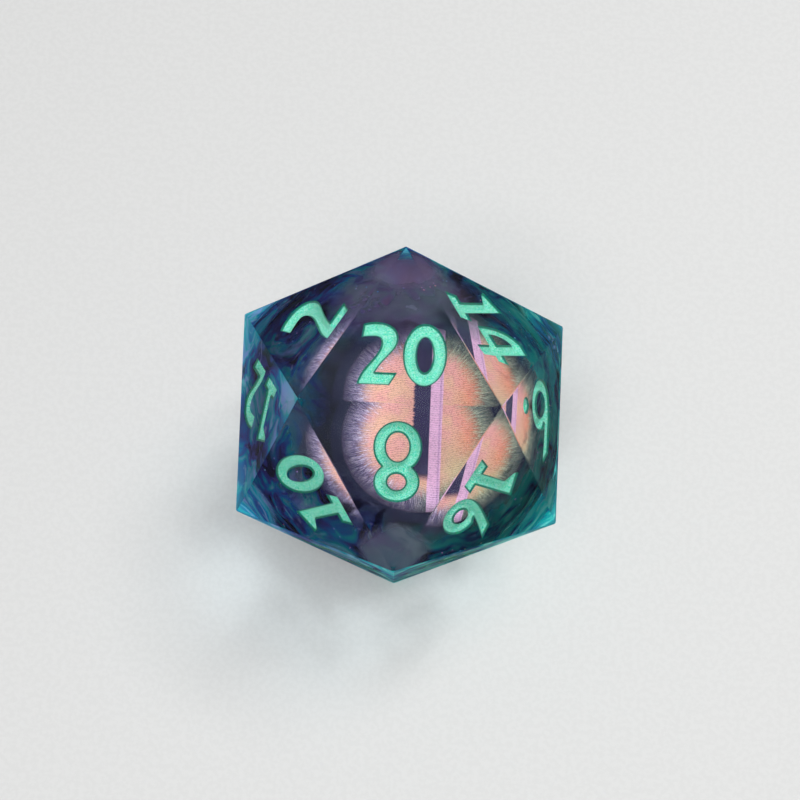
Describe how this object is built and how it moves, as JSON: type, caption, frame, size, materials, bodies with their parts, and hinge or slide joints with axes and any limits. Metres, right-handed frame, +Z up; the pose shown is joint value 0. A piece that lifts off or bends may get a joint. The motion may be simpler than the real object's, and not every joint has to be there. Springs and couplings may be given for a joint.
{
  "type": "twenty-sided die",
  "caption": "Clear sharp-edged polyhedral die with engraved painted numerals and a liquid core in which a weighted printed eye floats and turns.",
  "frame": {"origin": "centre of the bottom face (face 1), on the surface the die stands on", "axes": "+Z up through face 20, -Y towards the long edge shared by faces 20 and 8, +X to the right seen from -Y"},
  "size_m": [0.0236, 0.0272, 0.022],
  "materials": {
    "clear_resin": "polished clear cast resin, faintly blue-green",
    "teal_ink": "teal alcohol-ink veil in resin",
    "blue_ink": "blue alcohol-ink veil in resin",
    "violet_ink": "violet alcohol-ink veil in resin",
    "capsule_plastic": "clear moulded acrylic",
    "plug_plastic": "clear glue-set plug",
    "liquid": "clear oil",
    "black_plastic": "smooth black plastic",
    "dome_plastic": "clear polished dome",
    "iris_print": "halftone print of a slit-pupilled iris",
    "steel_weight": "plain turned steel",
    "mint_paint": "pearlescent mint-green paint in the engraving"
  },
  "bodies": {
    "die": {"resin_body": "clear_resin", "ink_layer_teal": "teal_ink", "ink_layer_blue": "blue_ink", "ink_layer_violet": "violet_ink", "capsule_upper": "capsule_plastic", "capsule_lower": "capsule_plastic", "fill_plug": "plug_plastic", "number_01": "mint_paint", "number_02": "mint_paint", "number_03": "mint_paint", "number_04": "mint_paint", "number_05": "mint_paint", "number_06": "mint_paint", "number_07": "mint_paint", "number_08": "mint_paint", "number_09": "mint_paint", "number_10": "mint_paint", "number_11": "mint_paint", "number_12": "mint_paint", "number_13": "mint_paint", "number_14": "mint_paint", "number_15": "mint_paint", "number_16": "mint_paint", "number_17": "mint_paint", "number_18": "mint_paint", "number_19": "mint_paint", "number_20": "mint_paint"},
    "liquid": {"liquid_fill": "liquid"},
    "eye": {"eye_cup": "black_plastic", "eye_dome": "dome_plastic", "iris_disc": "iris_print", "ballast_weight": "steel_weight"}
  },
  "joints": [
    {"name": "eye_yaw", "type": "hinge", "parent": "die", "child": "liquid", "pos_m": [0, 0, 0.011], "axis": [0, 0, 1], "continuous": true},
    {"name": "eye_pitch", "type": "hinge", "parent": "liquid", "child": "eye", "pos_m": [0, 0, 0.011], "axis": [1, 0, 0], "continuous": true}
  ]
}
